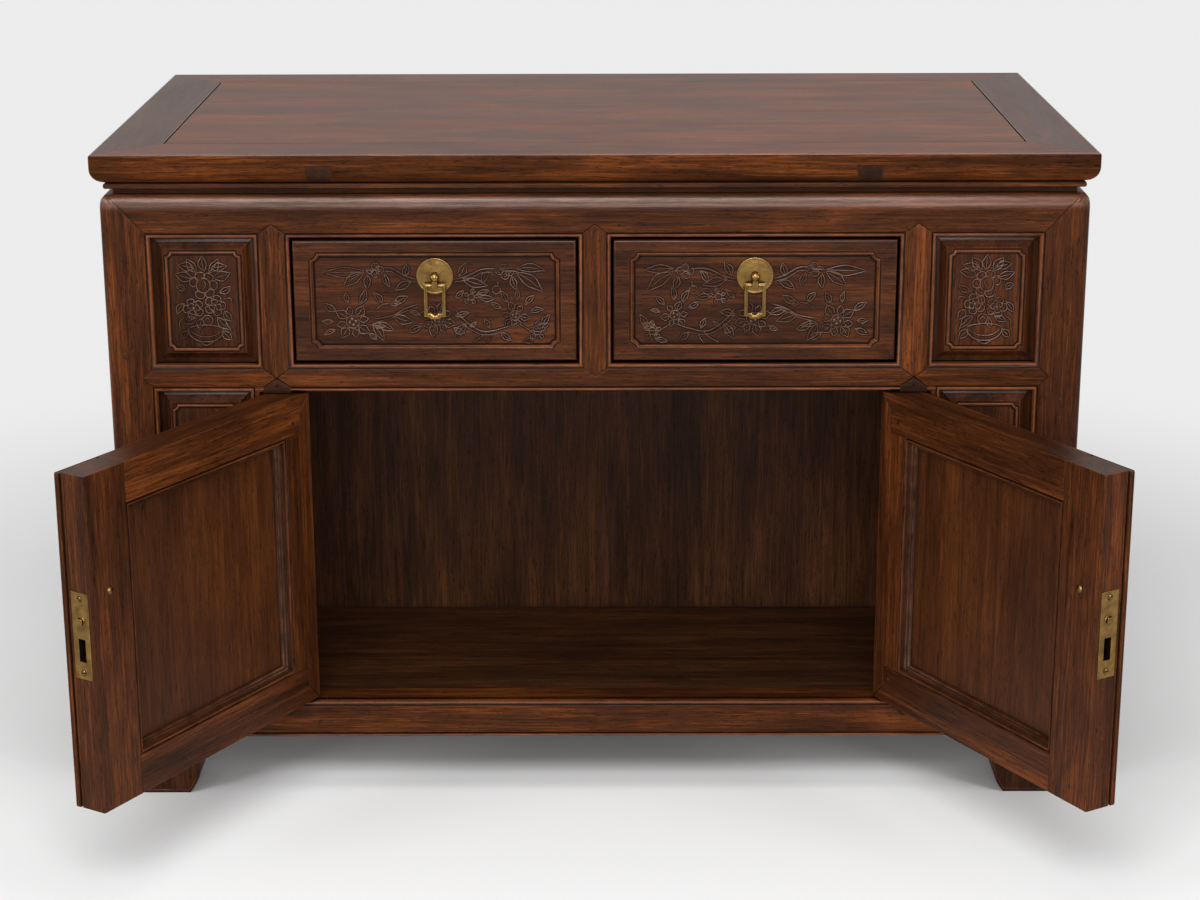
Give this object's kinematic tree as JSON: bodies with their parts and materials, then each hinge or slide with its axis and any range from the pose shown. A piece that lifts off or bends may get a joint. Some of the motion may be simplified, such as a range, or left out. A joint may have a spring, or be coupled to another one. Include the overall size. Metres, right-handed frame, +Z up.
{
  "type": "kang cabinet",
  "caption": "Low wooden kang cabinet with a framed top, a row of drawers and carved panels over a compartment with hinged framed doors, on short feet.",
  "frame": {"origin": "on the floor, under the middle of the cabinet's box with both doors open as at rest", "axes": "+X to the viewer's right along the front, +Y from the front to the back, +Z up"},
  "size_m": [1.1, 0.8819, 0.757],
  "materials": {
    "frame_wood": "dark red-brown stained hardwood, satin lacquer",
    "top_wood": "dark red-brown stained hardwood, satin lacquer",
    "panel_wood": "dark red-brown stained hardwood, carved, satin lacquer",
    "interior_wood": "dark brown stained wood, matt",
    "brass": "aged brass, satin"
  },
  "bodies": {
    "cabinet": {"back_left_post": "frame_wood", "back_panels": "panel_wood", "back_rails": "frame_wood", "back_right_post": "frame_wood", "centre_stile": "frame_wood", "door_jambs": "frame_wood", "drawer_runners": "interior_wood", "feet": "frame_wood", "floor_board": "interior_wood", "front_bottom_rail": "frame_wood", "front_left_post": "frame_wood", "front_mid_rail": "frame_wood", "front_right_post": "frame_wood", "front_top_rail": "frame_wood", "inner_back_panel": "interior_wood", "left_end_panel": "panel_wood", "left_lower_panel": "panel_wood", "left_side_rails": "frame_wood", "left_stile": "frame_wood", "left_upper_panel": "panel_wood", "pivot_blocks": "brass", "right_end_panel": "panel_wood", "right_lower_panel": "panel_wood", "right_side_rails": "frame_wood", "right_stile": "frame_wood", "right_upper_panel": "panel_wood", "top_back_member": "top_wood", "top_battens": "top_wood", "top_front_member": "top_wood", "top_left_end": "top_wood", "top_panel": "top_wood", "top_right_end": "top_wood", "waist_frame": "frame_wood"},
    "left_door": {"left_door_hinge_stile": "frame_wood", "left_door_free_stile": "frame_wood", "left_door_rails": "frame_wood", "left_door_panel": "panel_wood", "left_door_lock_plate": "brass", "left_door_pull": "brass"},
    "left_door_bail": {"left_door_bail": "brass"},
    "left_lock_stud": {"left_door_lock_stud": "brass"},
    "left_drawer": {"left_drawer_front": "frame_wood", "left_drawer_box": "interior_wood", "left_drawer_bottom": "interior_wood", "left_drawer_pull": "brass"},
    "left_drawer_bail": {"left_drawer_bail": "brass"},
    "right_door": {"right_door_hinge_stile": "frame_wood", "right_door_free_stile": "frame_wood", "right_door_rails": "frame_wood", "right_door_panel": "panel_wood", "right_door_lock_plate": "brass", "right_door_pull": "brass"},
    "right_door_bail": {"right_door_bail": "brass"},
    "right_lock_stud": {"right_door_lock_stud": "brass"},
    "right_drawer": {"right_drawer_front": "frame_wood", "right_drawer_box": "interior_wood", "right_drawer_bottom": "interior_wood", "right_drawer_pull": "brass"},
    "right_drawer_bail": {"right_drawer_bail": "brass"}
  },
  "joints": [
    {"name": "left_door_hinge", "type": "hinge", "parent": "cabinet", "child": "left_door", "pos_m": [-0.3555, -0.12268, 0.3015], "axis": [0, 0, -1], "range_deg": [-121, 5]},
    {"name": "left_door_bail_hinge", "type": "hinge", "parent": "left_door", "child": "left_door_bail", "pos_m": [-0.533, -0.38702, 0.3445], "axis": [0.515, 0.8572, 0], "range_deg": [0, 85]},
    {"name": "left_lock_stud_slide", "type": "slide", "parent": "left_door", "child": "left_lock_stud", "axis": [-0.515, -0.8572, 0], "range_m": [-0.0024, 0], "stiffness_N_per_m": 400},
    {"name": "left_drawer_slide", "type": "slide", "parent": "cabinet", "child": "left_drawer", "axis": [0, -1, 0], "range_m": [0, 0.3]},
    {"name": "left_drawer_bail_hinge", "type": "hinge", "parent": "left_drawer", "child": "left_drawer_bail", "pos_m": [-0.17675, -0.13568, 0.61025], "axis": [-1, 0, 0], "range_deg": [0, 85]},
    {"name": "right_door_hinge", "type": "hinge", "parent": "cabinet", "child": "right_door", "pos_m": [0.3555, -0.12268, 0.3015], "axis": [0, 0, 1], "range_deg": [-121, 5]},
    {"name": "right_door_bail_hinge", "type": "hinge", "parent": "right_door", "child": "right_door_bail", "pos_m": [0.533, -0.38702, 0.3445], "axis": [0.515, -0.8572, 0], "range_deg": [0, 85]},
    {"name": "right_lock_stud_slide", "type": "slide", "parent": "right_door", "child": "right_lock_stud", "axis": [0.515, -0.8572, 0], "range_m": [-0.0024, 0], "stiffness_N_per_m": 400},
    {"name": "right_drawer_slide", "type": "slide", "parent": "cabinet", "child": "right_drawer", "axis": [0, -1, 0], "range_m": [0, 0.3]},
    {"name": "right_drawer_bail_hinge", "type": "hinge", "parent": "right_drawer", "child": "right_drawer_bail", "pos_m": [0.17675, -0.13568, 0.61025], "axis": [-1, 0, 0], "range_deg": [0, 85]}
  ]
}
